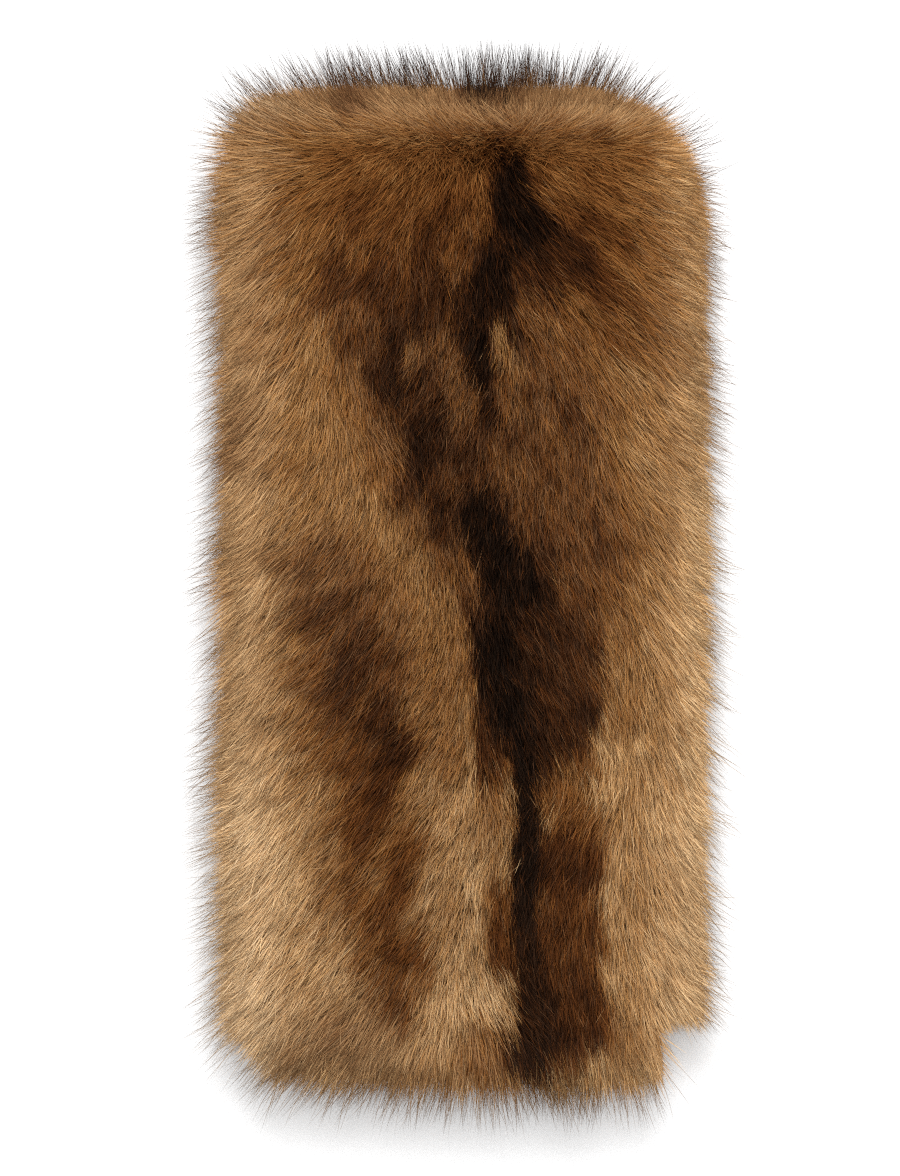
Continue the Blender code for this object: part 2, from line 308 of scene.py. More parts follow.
def furAshAndEdgeShade(x, y, tone):
    # Share of greyer hair: a base that changes along the wrap, more along both edges, in two soft patches and
    # among the browns of the back, and less among the browns further down. Along the edges, most along the
    # left, the greyer hair is painted shade where the pile curves away from the light; elsewhere it is the
    # fur's own ashen hair
    fade = ashAndEdgeShade["fade"]
    share = np.interp(y, ashAndEdgeShade["at"], ashAndEdgeShade["base"])
    # Painted shade: greyer along both edges, most along the left, where the pile curves away from the light
    share = share + ease((-ashAndEdgeShade["edge"] - x) / fade) * np.interp(y, ashAndEdgeShade["leftAt"], ashAndEdgeShade["left"])
    share = share + ease((x - ashAndEdgeShade["edge"]) / fade) * ashAndEdgeShade["right"]
    for px, py, wide, long, more in ashAndEdgeShade["patches"]:
        share = share + np.exp(-(((x - px) / wide) ** 2) - ((y - py) / long) ** 2) * more
    (top, topFade), (low, lowFade), (sx, sy) = (ashAndEdgeShade[k] for k in ("brownTo", "brownFrom", "shoulder"))
    brown = ease((top - tone) / topFade) * ease((tone - low) / lowFade)
    shoulder = ease((x - sx) / fade) * ease((y - sy) / fade)
    share = share + brown * (1 - shoulder) * np.interp(y, ashAndEdgeShade["brownAt"], ashAndEdgeShade["brown"])
    return np.clip(share, 0, ashAndEdgeShade["most"])


# Tones as they show in daylight, from the darkest to the palest: the place, the warm colour, the ashen one
toneStops = [
    (0.00, (17, 10, 6), (20, 15, 12)),
    (0.15, (34, 20, 11), (40, 29, 22)),
    (0.30, (64, 34, 15), (66, 48, 34)),
    (0.45, (94, 54, 24), (96, 74, 53)),
    (0.60, (121, 77, 37), (124, 97, 70)),
    (0.75, (143, 103, 59), (148, 120, 88)),
    (0.88, (167, 129, 83), (170, 144, 110)),
    (1.00, (191, 160, 114), (197, 172, 138)),
]

# The hair's map: each hue has a third of its width, and each hair a very thin column
hairMap = {"start": 0.01, "step": 0.33, "width": 0.31, "halfColumn": 0.0006}

hairLook = {
    "gain": 1.74,  # hair in a pile shades itself, so each hair is paler than the pile looks
    "roughness": 0.6,
    "specular": 0.06,
    # From root to tip: the place along the hair, its brightness there, and how cool that is. The darker roots
    # are painted shade deep in the pile; the guard hair's dark tips are its own colour
    "ground": [(0.0, 0.66, 0.93), (0.45, 0.86, 0.97), (0.8, 1.0, 1.0), (1.0, 1.1, 1.02)],
    "guard": [(0.0, 0.5, 0.92), (0.42, 0.64, 0.95), (0.72, 0.32, 0.92), (1.0, 0.07, 0.95)],
}


def newMaterial(name, roughness, specular):
    # A material with its node tree and its one shader, set to this roughness and sheen
    material = bpy.data.materials.new(name)
    material.use_nodes = True
    shader = material.node_tree.nodes["Principled BSDF"]
    shader.inputs["Roughness"].default_value = roughness
    shader.inputs["Specular IOR Level"].default_value = specular
    return material, material.node_tree, shader


def newNode(tree, kind, inputs=(), **settings):
    # A node with these settings, each of these inputs fed from a socket or set to a value
    node = tree.nodes.new("ShaderNode" + kind)
    for name, value in settings.items():
        setattr(node, name, value)
    for place, value in dict(inputs).items():
        if isinstance(value, bpy.types.NodeSocket):
            tree.links.new(value, node.inputs[place])
        else:
            node.inputs[place].default_value = value
    return node


def ramp(tree, stops):
    # A colour ramp with these (place, linear colour) stops
    node = newNode(tree, "ValToRGB")
    points = node.color_ramp.elements
    while len(points) < len(stops):
        points.new(0.5)
    for point, (place, colour) in zip(points, stops):
        point.position = place
        point.color = (*[min(float(c), 1) for c in colour], 1)
    return node


def hairMaterial(name, along):
    # Each hair lies on its own thin column of the map. Across the map is its tone, warm in the first third,
    # halfway in the second and ashen in the last, and up the map is the way from root to tip
    material, tree, shader = newMaterial(name, hairLook["roughness"], hairLook["specular"])
    place = newNode(tree, "UVMap", uv_map="OFBake")
    split = newNode(tree, "SeparateXYZ", {0: place.outputs["UV"]})
    stops = []
    for hue, share in enumerate((0, 0.5, 1)):
        for t, warm, ash in toneStops:
            colour = linear(*warm) * (1 - share) + linear(*ash) * share
            at = hairMap["start"] + hue * hairMap["step"] + t * hairMap["width"]
            stops.append((at, colour * hairLook["gain"]))
    tone = ramp(tree, stops)
    # Brightness along each hair: painted shade towards the root, and the guard hair's own dark tips
    rootShadeAndTips = ramp(tree, [(v, (k, k * w, k * w * w)) for v, k, w in along])
    tree.links.new(split.outputs["X"], tone.inputs["Fac"])
    tree.links.new(split.outputs["Y"], rootShadeAndTips.inputs["Fac"])
    both = {"Factor": 1, 6: tone.outputs["Color"], 7: rootShadeAndTips.outputs["Color"]}
    colour = newNode(tree, "Mix", both, data_type="RGBA", blend_type="MULTIPLY")
    tree.links.new(colour.outputs[2], shader.inputs["Base Color"])
    return material


clumps = {
    "lock": {"size": 0.0090, "seed": 3},
    "tuft": {"size": 0.0024, "seed": 8},
    "from": 0.15,  # a clump's middle lies anywhere in this range of its own square of the grid
    "range": 0.7,
}


def clumpOf(x, y, name):
    # The nearest of a jittered grid of centres, and that centre's own random number
    size, seed = clumps[name]["size"], clumps[name]["seed"]
    i0, j0 = np.floor(x / size), np.floor(y / size)
    best = np.full(x.shape, np.inf)
    cx, cy, own = np.zeros_like(x), np.zeros_like(x), np.zeros_like(x)
    for di in (-1, 0, 1):
        for dj in (-1, 0, 1):
            i, j = i0 + di, j0 + dj
            px = (i + clumps["from"] + clumps["range"] * hashed(i, j, seed)) * size
            py = (j + clumps["from"] + clumps["range"] * hashed(i, j, seed + 1)) * size
            d = (px - x) ** 2 + (py - y) ** 2
            near = d < best
            best = np.where(near, d, best)
            cx, cy = np.where(near, px, cx), np.where(near, py, cy)
            own = np.where(near, hashed(i, j, seed + 2), own)
    return cx, cy, own


def hairPaths(root, dx, dy, length, rise, fall, places):
    # Points along each hair. Its angle above the floor turns evenly from rise at the root to fall at the tip,
    # so it runs along its flow by the integral of the angle's cosine and climbs by that of its sine
    s = np.array(places)[None, :]
    rise, fall, length = rise[:, None], fall[:, None], length[:, None]
    leastTurn = 0.02  # below it the two integrals would be nothing over nothing
    turn = np.where(np.abs(fall - rise) < leastTurn, leastTurn, fall - rise)
    angle = rise + turn * s
    ahead = length * (np.sin(angle) - np.sin(rise)) / turn
    above = length * (np.cos(rise) - np.cos(angle)) / turn
    run = np.stack([ahead * dx[:, None], ahead * dy[:, None], above], -1)
    return root[:, None, :] + run


reach = {
    # Axis, way and distance: both sides, the fold, the open end and the top
    "limits": ((0, 1, 0.1305), (0, -1, 0.1305), (1, 1, 0.2520), (1, -1, 0.2480), (2, 1, 0.0525)),
    "notch": (0.0865, -0.2010),  # hair is cut off square in the notch, past this corner
    "notchSlant": 0.14,
    "notchStray": 0.12,  # share of hairs that stray into it
    "shortest": 0.2,  # share of its length that a hair keeps at least
    "ragged": 0.9,  # a hair that is drawn in ends anywhere from this share of its new length on
    "floor": (0.0003, 0.0016),  # how far above the floor the lowest hairs lie, and by how much they differ
}


def trimmed(path):
    # A hair whose tip would pass the wrap's reach is drawn in along itself, to end at about the reach. So is
    # one that would enter the notch, where it first lies past both of the notch's sides
    root, tip = path[:, :1], path[:, -1]
    run = tip - root[:, 0]
    tiny = 1e-6
    share = np.ones(len(path))
    for axis, sign, limit in reach["limits"]:
        ahead = np.maximum(sign * run[:, axis], tiny)
        share = np.minimum(share, (limit - sign * root[:, 0, axis]) / ahead)
    notchX, notchY = reach["notch"]
    side = notchX + (notchY - tip[:, 1]) * reach["notchSlant"]
    across = (side - root[:, 0, 0]) / np.maximum(run[:, 0], tiny)
    down = (root[:, 0, 1] - notchY) / np.maximum(-run[:, 1], tiny)
    notched = (across < 1) & (down < 1) & (run[:, 0] > 0) & (run[:, 1] < 0)
    notched &= rng.random(len(path)) > reach["notchStray"]
    share = np.where(notched, np.minimum(share, np.maximum(across, down)), share)
    ragged = np.where(share < 1, rng.uniform(reach["ragged"], 1, len(path)), 1)
    share = np.clip(share, reach["shortest"], 1) * ragged
    path = root + share[:, None, None] * (path - root)
    low, more = reach["floor"]
    path[:, :, 2] = np.maximum(path[:, :, 2], low + more * rng.random((len(path), 1)))
    return path


ribbon = {
    "roll": 0.6,  # how far the ribbons are rolled about their own length, in radians
    "at": (0, 0.3, 0.6, 1),  # share of its full width that a hair has at these places along it
    "profile": (0.8, 1, 0.95, 0.2),
    "lowest": 0.0001,
}


def ribbonPoints(path, width, places):
    # The corners of each hair's ribbon: at every point but the last, half the width that the profile gives to
    # either side of the path, along a level direction square to it that is rolled by a random angle. The last
    # point is the hair's tip
    step = np.gradient(path, axis=1)
    step /= np.maximum(np.linalg.norm(step, axis=2, keepdims=True), 1e-9)
    level = np.stack([step[:, :, 1], -step[:, :, 0], np.zeros(step.shape[:2])], -1)
    level /= np.maximum(np.linalg.norm(level, axis=2, keepdims=True), 1e-6)
    roll = rng.normal(0, ribbon["roll"], (len(path), 1, 1))
    across = level * np.cos(roll) + np.cross(level, step) * np.sin(roll)
    profile = np.interp(places[:-1], ribbon["at"], ribbon["profile"])
    half = 0.5 * width[:, None, None] * profile[None, :, None]
    body, across = path[:, :-1], across[:, :-1]
    points = np.concatenate([body - across * half, body + across * half, path[:, -1:]], 1)
    points[:, :, 2] = np.maximum(points[:, :, 2], ribbon["lowest"])
    return points


def hairMesh(name, coats, material):
    # All hairs of these coats as one mesh. Each is a strip of four-sided faces that ends in one triangle
    path = np.concatenate([c["path"] for c in coats])
    width, tone, ash = (np.concatenate([c[k] for c in coats]) for k in ("width", "tone", "ash"))
    count, stretches = len(path), path.shape[1] - 1
    places = np.array(coats[0]["places"])
    points = ribbonPoints(path, width, places)
    per = 2 * stretches + 1
    loops = []
    for k in range(stretches - 1):
        loops += [k, k + stretches, k + stretches + 1, k + 1]
    loops += [stretches - 1, 2 * stretches - 1, 2 * stretches]
    corner = (np.arange(count)[:, None] * per + np.array(loops)[None, :]).ravel()
    sizes = np.tile([4] * (stretches - 1) + [3], count)
    starts = np.concatenate([[0], np.cumsum(sizes)[:-1]])

    mesh = bpy.data.meshes.new(name)
    mesh.vertices.add(count * per)
    mesh.vertices.foreach_set("co", points.astype(np.float32).ravel())
    mesh.loops.add(len(corner))
    mesh.loops.foreach_set("vertex_index", corner.astype(np.int32))
    mesh.polygons.add(len(sizes))
    mesh.polygons.foreach_set("loop_start", starts.astype(np.int32))
    mesh.polygons.foreach_set("use_smooth", np.ones(len(sizes), bool))
    mesh.update(calc_edges=True)

    # The map: the hair's own thin column, and the way along it
    column = hairMap["start"] + hairMap["step"] * ash + hairMap["width"] * np.clip(tone, 0, 1)
    edge = np.full(stretches, hairMap["halfColumn"])
    uv = np.empty((count, per, 2), np.float32)
    uv[:, :, 0] = column[:, None] + np.concatenate([-edge, edge, [0.0]])[None, :]
    uv[:, :, 1] = np.concatenate([places[:-1], places[:-1], places[-1:]])[None, :]
    layer = mesh.uv_layers.new(name="OFBake")
    layer.uv.foreach_set("vector", uv.reshape(-1, 2)[corner].ravel())
    mesh.materials.append(material)
    piece = linked(name, mesh)
    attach(piece, "root")
    print(name, count, "hairs,", count * (2 * stretches - 1), "triangles")
    return piece


def rooted(x, y):
    # Whether hair roots here: inside the leaf's outline, with its cut and stepped corners at the open end and
    # a round corner at each end of the fold
    inside = (np.abs(x) < halfWidth) & (y > openEnd) & (y < bend)
    stepWidth, stepLength = skin["rootStep"]
    outside = (x + halfWidth) + (y - openEnd) < skin["rootCut"]
    outside |= (x > halfWidth - stepWidth) & (y < openEnd + stepLength)
    for sign, radius in skin["corners"]:
        dx, dy = sign * x - (halfWidth - radius), y - (bend - radius)
        outside |= (dx > 0) & (dy > 0) & (dx * dx + dy * dy > radius * radius)
    return inside & ~outside


def rootOutline(count):
    # The rooting outline as evenly spaced points, anticlockwise: its straight sides, its cut and step, and
    # the round corners as arcs of a dozen points each
    cut, (stepWidth, stepLength) = skin["rootCut"], skin["rootStep"]
    points = [
        (-halfWidth, openEnd + cut),
        (-halfWidth + cut, openEnd),
        (halfWidth - stepWidth, openEnd),
        (halfWidth - stepWidth, openEnd + stepLength),
        (halfWidth, openEnd + stepLength),
    ]
    for (sign, radius), turns in zip(reversed(skin["corners"]), ((0, 90), (90, 180))):
        x, y = sign * (halfWidth - radius), bend - radius
        for turn in np.radians(np.linspace(*turns, 12)):
            points.append((x + radius * math.cos(turn), y + radius * math.sin(turn)))
    points = np.array(points + points[:1])
    travel = np.concatenate([[0], np.cumsum(np.hypot(*np.diff(points, axis=0).T))])
    at = np.linspace(0, travel[-1], count, endpoint=False)
    return np.stack([np.interp(at, travel, points[:, k]) for k in (0, 1)], 1)


def scatter(count, keep, left=-1, right=1):
    # Random points over the leaf, between two shares of its half width, drawn until enough pass the test
    found = np.zeros((0, 2))
    while len(found) < count:
        more = rng.uniform((left * halfWidth, openEnd), (right * halfWidth, bend), (count, 2))
        found = np.concatenate([found, more[keep(more[:, 0], more[:, 1])]])
    return found[:count, 0], found[:count, 1]


def rimmed(band):
    # A test for roots that lie within the band along the outline
    def test(x, y):
        deep = rooted(x, y)
        for turn in np.linspace(0, 2 * math.pi, 8, endpoint=False):
            deep &= rooted(x + band * math.cos(turn), y + band * math.sin(turn))
        return rooted(x, y) & ~deep

    return test


def openRim(x, y):
    # A test for roots close to the open end, between its cut corner and its step
    deep, left, right = tufts["openRim"]
    return rooted(x, y) & ~rooted(x, y - deep) & (x > left) & (x < right)


def parting(x, y):
    # A test for roots where the comb's directions disagree, so that the hair parts
    return rooted(x, y) & (combed(x, y)[2] < tufts["part"]["roots"])


def edgeSpace(x, y, dx, dy):
    # How far the leaf still runs past each root along the hair's own direction, to its side, end or cut
    # corner. A hair that runs almost level with one of these never gets there
    level, far = 0.05, 1
    stepWidth, stepLength = skin["rootStep"]
    foot = openEnd + stepLength * (x > halfWidth - stepWidth)
    nearest = far
    for space, pace in (
        (halfWidth - x * np.sign(dx), np.abs(dx)),
        (np.where(dy < 0, y - foot, bend - y), np.abs(dy)),
        ((x + halfWidth) + (y - openEnd) - skin["rootCut"], -dx - dy),
    ):
        nearest = np.minimum(nearest, np.where(pace > level, space / np.maximum(pace, level), far))
    return nearest


tufts = {
    # The pull towards the middle of a lock and a tuft, which grows along the hair by the power, and how much
    # more the open end's hair gathers in spikes
    "pull": {"lock": 0.16, "tuft": 0.45, "fold": 0.5, "open": 1.4, "most": 0.7, "power": 1.4},
    # Degrees that locks, tufts and soft stretches of the fur stray from the comb
    "turn": {"lock": 22, "tuft": 22, "soft": 5, "softSize": 0.045},
    # Where the comb agrees less than this, the hair parts: it strays by more and is shorter. More of it roots
    # where the comb agrees less than the last number
    "part": {"from": 0.95, "fade": 0.5, "lock": 2, "tuft": 4, "hair": 40, "shorter": 0.1, "roots": 0.8},
    # Degrees that tufts and hairs differ in rise and fall, and what the edge gets where it runs foldwards
    "angle": {"tuft": 12, "rise": 5, "fall": 9, "upRise": 6, "upFall": 42},
    # How far the marks stray along the flow and aside, and where along the hair they are read
    "shift": {"lock": 0.007, "tuft": 0.006, "hair": 0.0035, "aside": 0.0010, "readAt": 0.85},
    # How much the tone differs, by less on pale hair, and the share of hairs that are paler and by how much
    "tone": {"lock": 0.08, "tuft": 0.10, "hair": 0.065, "less": 0.035, "paleShare": 0.12, "paler": 0.16},
    "leftLonger": 0.12,  # how much longer the hair is over the left side, and shorter over the right
    "upper": (0.05, 0.04),  # where along the wrap its part near the fold starts, and how softly
    "edge": 0.032,  # hair counts as the leaf's edge within this distance
    "openRim": (0.012, -0.062, 0.066),  # how deep the open end's own rim is, and where it starts and ends
    "plush": 0.052,  # half width of the more upright middle
    "byTuft": (0.92, 0.16),  # least length and what a tuft adds to it
    "sway": 0.0010,  # how far a hair bows to the side
    "widths": (0.7, 1.25),
}

groundHair = {
    "hairs": 63500,  # in each of the leaf's three pieces, and the last piece's parts as shares of that number
    "shares": {"fold": 0.20, "under": 0.34, "rim": 0.34, "part": 0.12},
    "rim": 0.016,  # how deep its thicker rim is
    "places": (0, 0.55, 1),  # along the hair, where it has points
    "width": 0.00037,
    "lengths": (0.62, 0.98, 1.06),  # shortest, likeliest and longest, as shares of its length
    "length": 0.033,
    "edgeLengths": (0.0258, 0.0144, 0.0308),  # where the leaf ends: at a side, the fold and the open end
    "upperShorter": 0.12,  # how much shorter it is along the right side near the fold
    # Degrees above the floor at the root and at the tip: on the leaf, at its edge, where it parts, and how
    # much more upright it stands down the middle
    "leaf": (70, 29),
    "edge": (56, -50),
    "part": (80, 54),
    "plush": (8, 16),
    "turn": 9,  # degrees that a hair strays from the comb
    "pull": 1.0,
    # Where round the bend it roots, in degrees from below to above, and how far its tip droops
    "fold": {"length": 0.0150, "tone": 0, "places": (-78, 82), "droop": (4, 20)},
    # How high on the side of the wool the under leaf's hair roots, and how far back at the floor
    "under": {"length": 0.0185, "top": 0.0235, "back": 0.011, "rise": 12, "fall": 58},
}

guardHair = {
    "hairs": {"leaf": 29500, "rim": 3400, "open": 900, "fold": 1300, "under": 1500},
    "rim": 0.015,
    "openTone": -0.08,
    "places": (0, 0.4, 0.74, 1),
    "width": 0.00022,
    "lengths": (0.70, 1.0, 1.22),
    "length": 0.035,
    "edgeLengths": (0.0350, 0.0290, 0.0390),
    "upperShorter": 0.07,
    "leaf": (65, 20),
    "edge": (28, -20),
    "part": (84, 56),
    "plush": (8, 16),
    "turn": 10,
    "pull": 0.5,
    "fold": {"length": 0.0375, "tone": -0.42, "places": (-75, 40), "droop": (8, 34)},  # dark all along
    "under": {"length": 0.024, "top": 0.0200, "back": 0.008, "rise": 12, "fall": 46},
}


def painted(kind, path, dx, dy, lockOwn, tuftOwn, darker=0):
    # Tone of each hair. The marks are read near its tip, strayed along the hair by lock, tuft and hair
    count, shift, tones = len(path), tufts["shift"], tufts["tone"]
    at = path[:, 0, :2] + shift["readAt"] * (path[:, -1, :2] - path[:, 0, :2])
    along = (lockOwn - 0.5) * shift["lock"] + (tuftOwn - 0.5) * shift["tuft"]
    along = along + rng.normal(0, shift["hair"], count)
    aside = rng.normal(0, shift["aside"], count)
    x, y = at[:, 0] + dx * along - dy * aside, at[:, 1] + dy * along + dx * aside
    tone = furTone(x, y)
    ash = np.floor(2 * furAshAndEdgeShade(x, y, tone) + rng.random(count))
    stray = rng.normal(0, 1, count) * (tones["hair"] - tones["less"] * tone)
    stray = stray + tones["paler"] * (rng.random(count) < tones["paleShare"]) * (1 - tone)
    tone = tone + (lockOwn - 0.5) * tones["lock"] + (tuftOwn - 0.5) * tones["tuft"] + stray + darker
    width = kind["width"] * rng.uniform(*tufts["widths"], count)
    return {"path": path, "width": width, "tone": tone, "ash": ash, "places": kind["places"]}


def mixed(kind, end, edge, part, plush):
    # The kind's angle at this end of the hair, drawn to its edge and parting angles by these shares, plus its
    # plush middle's
    leaf, edged, parted, more = (kind[name][end] for name in ("leaf", "edge", "part", "plush"))
    return leaf + (edged - leaf) * edge + (parted - leaf) * part + more * plush


def leafHairs(kind, x, y, darker=0):
    # Hair on the upper leaf. It follows the comb, turned a little by its lock, its tuft and by itself, stands
    # up where the hair parts, droops where the leaf ends, and is pulled in towards the middle of its tuft and
    # lock, more so towards the tip
    stray, split, angle, pulls = (tufts[k] for k in ("turn", "part", "angle", "pull"))
    lockX, lockY, lockOwn = clumpOf(x, y, "lock")
    tuftX, tuftY, tuftOwn = clumpOf(x, y, "tuft")
    dx, dy, agree = combed(tuftX, tuftY)
    part = ease((split["from"] - agree) / split["fade"])
    turn = np.radians(
        (lockOwn - 0.5) * stray["lock"] * (1 + split["lock"] * part)
        + (tuftOwn - 0.5) * stray["tuft"] * (1 + split["tuft"] * part)
        + ripple(x, y, stray["softSize"], seeds["turn"]) * stray["soft"]
        + rng.normal(0, 1, x.shape) * (kind["turn"] + split["hair"] * part)
    )
    dx, dy = dx * np.cos(turn) - dy * np.sin(turn), dx * np.sin(turn) + dy * np.cos(turn)
    up, down = np.maximum(dy, 0) ** 2, np.maximum(-dy, 0) ** 2
    edge = 1 - ease(edgeSpace(x, y, dx, dy) / tufts["edge"])
    part = part * (1 - edge)
    plush = np.exp(-((x / tufts["plush"]) ** 2)) * (1 - edge)
    rise = mixed(kind, 0, edge, part, plush) + angle["upRise"] * up * edge
    fall = mixed(kind, 1, edge, part, plush) + angle["upFall"] * up * edge
    lift = (hashed(np.round(tuftX * 1e5), np.round(tuftY * 1e5), seeds["lift"]) - 0.5) * angle["tuft"]
    rise = np.radians(rise + lift + rng.normal(0, angle["rise"], x.shape))
    fall = np.radians(fall + lift + rng.normal(0, angle["fall"], x.shape))

    (sideLength, foldLength, openLength), (least, more) = kind["edgeLengths"], tufts["byTuft"]
    upperFrom, upperFade = tufts["upper"]
    shorter = kind["upperShorter"] * (dx > 0) * ease((y - upperFrom) / upperFade)
    shorter = tufts["leftLonger"] * np.sign(dx) + shorter
    edgeLength = sideLength * (dx * dx) * (1 - shorter) + foldLength * up + openLength * down
    length = kind["length"] + (edgeLength - kind["length"]) * edge
    length = length * rng.triangular(*kind["lengths"], x.shape) * (least + more * tuftOwn)
    length = length * (1 - split["shorter"] * part)

    places = np.array(kind["places"])[None, :]
    root = np.stack([x, y, np.full_like(x, skinTop)], 1)
    path = hairPaths(root, dx, dy, length, rise, fall, kind["places"])
    gather = kind["pull"] * (1 + pulls["open"] * edge * down)
    growing = places ** pulls["power"]
    for cx, cy, name in ((tuftX, tuftY, "tuft"), (lockX, lockY, "lock")):
        pull = np.minimum(pulls[name] * gather, pulls["most"])
        path[:, :, 0] += ((cx - x) * pull)[:, None] * growing
        path[:, :, 1] += ((cy - y) * pull)[:, None] * growing
    sway = rng.normal(0, tufts["sway"], x.shape)[:, None] * np.sin(places * math.pi)
    path[:, :, 0] += sway * dy[:, None]
    path[:, :, 1] -= sway * dx[:, None]
    return painted(kind, trimmed(path), dx, dy, lockOwn, tuftOwn, darker)


foldFur = {
    "evenShare": 0.5,  # this share of the hair roots all along the fold, the rest within its middle
    "middle": 0.6,
    "combRow": 0.222,  # where the comb is read for it
    "clumpRow": 0.3,  # its clumps are one row across the wrap
    "turn": {"corner": 24, "lock": 26, "tuft": 18},  # degrees that it leans aside
    "rise": 0.72,  # its angle at the root is this share of its place, and at the tip this share of that
    "fall": 0.62,
    "riseStray": 7,
    "byClump": (0.84, 0.16, 0.16),  # least length and what a tuft and a lock add to it
}


def foldHairs(kind, count):
    # Hair round the fold. Its place on the half circle of the bend sets how far it points up or down, and it
    # leans to the side as the comb's last row does, turned further where the corners are round
    own, turn = kind["fold"], foldFur["turn"]
    evenly, middle = rng.random(count) < foldFur["evenShare"], foldFur["middle"]
    x = np.where(evenly, rng.uniform(-1, 1, count), rng.uniform(-middle, middle, count)) * halfWidth
    (_, leftRadius), (_, rightRadius) = skin["corners"]
    radius = np.where(x < 0, leftRadius, rightRadius)
    past = np.clip(np.abs(x) - (halfWidth - radius), 0, radius)
    y = bend - (radius - np.sqrt(np.maximum(radius**2 - past**2, 0)))
    row = y * 0 + foldFur["clumpRow"]
    _, _, lockOwn = clumpOf(x, row, "lock")
    tuftX, _, tuftOwn = clumpOf(x, row, "tuft")
    place = np.radians(rng.uniform(*own["places"], count))
    dx, dy, _ = combed(x, np.full_like(x, foldFur["combRow"]))
    lean = np.degrees(np.arctan2(dx, dy)) + past / radius * turn["corner"] * np.sign(x)
    lean = lean + (lockOwn - 0.5) * turn["lock"] + (tuftOwn - 0.5) * turn["tuft"]
    lean = np.radians(lean + rng.normal(0, kind["turn"], count))
    dx, dy = np.sin(lean), np.cos(lean)
    rise = place * foldFur["rise"] + np.radians(rng.normal(0, foldFur["riseStray"], count))
    fall = rise * foldFur["fall"] - np.radians(rng.uniform(*own["droop"], count))
    least, byTuft, byLock = foldFur["byClump"]
    length = own["length"] * rng.triangular(*kind["lengths"], count)
    length = length * (least + byTuft * tuftOwn + byLock * lockOwn)
    back = bendRadius * (1 - np.cos(place))
    root = np.stack([x - dx * back, y - dy * back, skinMiddle + bendRadius * np.sin(place)], 1)
    path = hairPaths(root, dx, dy, length, rise, fall, kind["places"])
    path[:, :, 0] += (tuftX - x)[:, None] * tufts["pull"]["fold"] * np.array(kind["places"])
    return painted(kind, trimmed(path), dx, dy, lockOwn, tuftOwn, own["tone"])


underFur = {
    "points": 1200,  # along the rim, and how many either way give its direction
    "span": 12,
    "step": 0.001,  # what each point counts for in the clumps
    "rootStray": 0.0006,
    "lowest": 0.0008,
    "riseStray": 7,
    "fallStray": 9,
    "openLonger": 0.4,  # how much longer it is towards the open end
    "byTuft": (0.9, 0.2),
}


def underHairs(kind, count):
    # Hair of the under leaf, which leaves all round the rim from the side of the wool. It runs outwards and
    # with the comb. What roots high droops over what roots low, and that lies along the floor
    own, rim, span = kind["under"], rootOutline(underFur["points"]), underFur["span"]
    ahead = np.roll(rim, -span, axis=0) - np.roll(rim, span, axis=0)
    outward = np.stack([ahead[:, 1], -ahead[:, 0]], 1) / np.linalg.norm(ahead, axis=1, keepdims=True)
    at = rng.integers(0, len(rim), count)
    high = rng.uniform(0, 1, count)
    back = own["back"] * (1 - high) ** 2
    x, y = (rim[at] - outward[at] * back[:, None] + rng.normal(0, underFur["rootStray"], (count, 2))).T
    rootHeight = underFur["lowest"] + own["top"] * high
    travel = at * underFur["step"]
    _, _, lockOwn = clumpOf(travel, rootHeight, "lock")
    _, _, tuftOwn = clumpOf(travel, rootHeight, "tuft")
    combX, combY, _ = combed(x, y)
    dx, dy = combX + outward[at, 0], combY + outward[at, 1]
    stray = (lockOwn - 0.5) * tufts["turn"]["lock"] + (tuftOwn - 0.5) * tufts["turn"]["tuft"]
    lean = np.arctan2(dx, dy) + np.radians(stray + rng.normal(0, kind["turn"], count))
    dx, dy = np.sin(lean), np.cos(lean)
    rise = -np.radians(own["rise"] + rng.normal(0, underFur["riseStray"], count))
    fall = -np.radians(own["fall"] * high + rng.normal(0, underFur["fallStray"], count))
    longer = 1 + underFur["openLonger"] * np.maximum(-dy, 0) ** 2
    least, more = underFur["byTuft"]
    length = own["length"] * longer * rng.triangular(*kind["lengths"], count) * (least + more * tuftOwn)
    root = np.stack([x, y, rootHeight], 1)
    path = hairPaths(root, dx, dy, length, rise, fall, kind["places"])
    return painted(kind, trimmed(path), dx, dy, lockOwn, tuftOwn)


def makeFur(groundLook, guardLook):
    # The upper leaf's ground hair in three pieces across it, then in one piece the hair of the fold, of the
    # under leaf, and more for the rim and the parting, and last every long guard hair, thicker at the edges
    pieces = []
    count, shares, hairs = groundHair["hairs"], groundHair["shares"], guardHair["hairs"]
    thirds = np.linspace(-1, 1, 4)
    for name, left, right in zip(("furLeft", "furMiddle", "furRight"), thirds, thirds[1:]):
        roots = scatter(count, rooted, left, right)
        pieces.append(hairMesh(name, [leafHairs(groundHair, *roots)], groundLook))
    folded = foldHairs(groundHair, int(count * shares["fold"]))
    under = underHairs(groundHair, int(count * shares["under"]))
    rim = leafHairs(groundHair, *scatter(int(count * shares["rim"]), rimmed(groundHair["rim"])))
    parted = leafHairs(groundHair, *scatter(int(count * shares["part"]), parting))
    pieces.append(hairMesh("furEdge", [folded, under, rim, parted], groundLook))
    x, y = scatter(hairs["leaf"], rooted)
    rimX, rimY = scatter(hairs["rim"], rimmed(guardHair["rim"]))
    leaf = leafHairs(guardHair, np.concatenate([x, rimX]), np.concatenate([y, rimY]))
    fringe = leafHairs(guardHair, *scatter(hairs["open"], openRim), guardHair["openTone"])
    folded = foldHairs(guardHair, hairs["fold"])
    under = underHairs(guardHair, hairs["under"])
    pieces.append(hairMesh("furGuard", [leaf, fringe, folded, under], guardLook))
    return pieces


streaks = {
    "specular": 0.2,
    "scale": (1500, 160, 900),  # how fine the streaks are across the wrap, along it and upwards
    "detail": 3,
    "change": (0.3, -0.15),  # how far they change the tone, and what brings that back to its middle
    "bump": (0.6, 0.0006),
}


